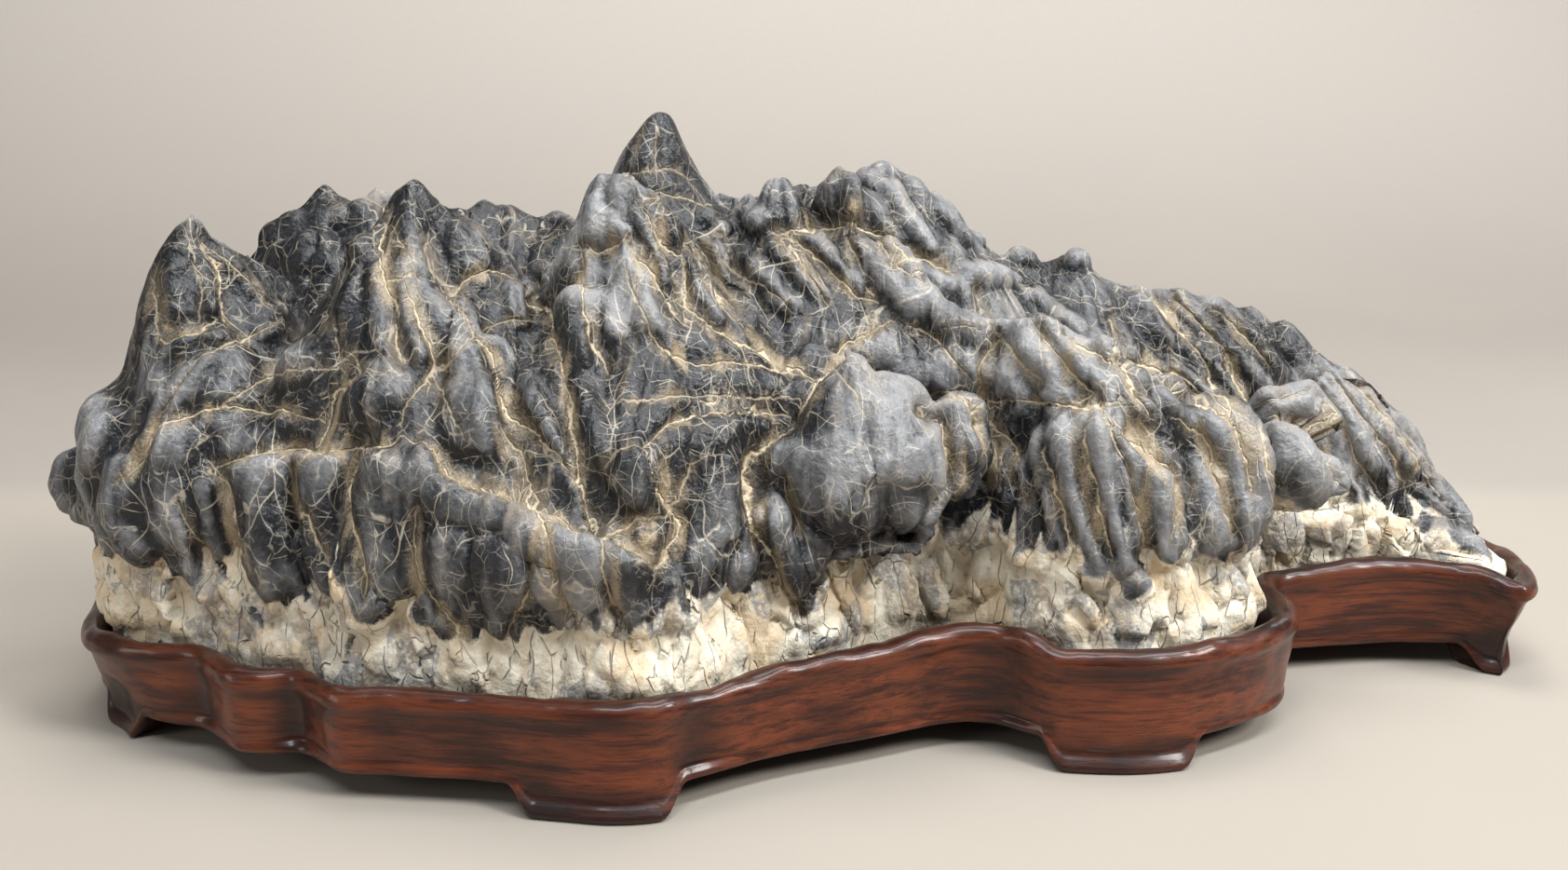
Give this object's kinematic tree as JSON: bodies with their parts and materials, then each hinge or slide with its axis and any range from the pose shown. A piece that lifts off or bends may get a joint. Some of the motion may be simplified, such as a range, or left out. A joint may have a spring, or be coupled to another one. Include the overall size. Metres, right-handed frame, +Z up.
{
  "type": "scholar's rock on a carved stand",
  "caption": "Mountain-range-shaped natural display stone with horn peak, ridges and hanging rounded lobes, resting in a low carved wooden tray stand with a wavy wall and splayed feet.",
  "frame": {"origin": "on the table plane, under the middle of the whole object's box", "axes": "+X along the mountain range towards its long falling end, +Y from the front face to the back, +Z up"},
  "size_m": [0.4866, 0.212, 0.1848],
  "materials": {
    "stone": "dark slate-grey limestone, hand-polished to a low sheen on the crown and lobes, with cream calcite veins and creases and a raw cream base",
    "rosewood": "dark red-brown rosewood, horizontal grain, waxed to a soft gloss"
  },
  "bodies": {
    "root": {"stone": "stone", "stand": "rosewood"}
  },
  "joints": []
}
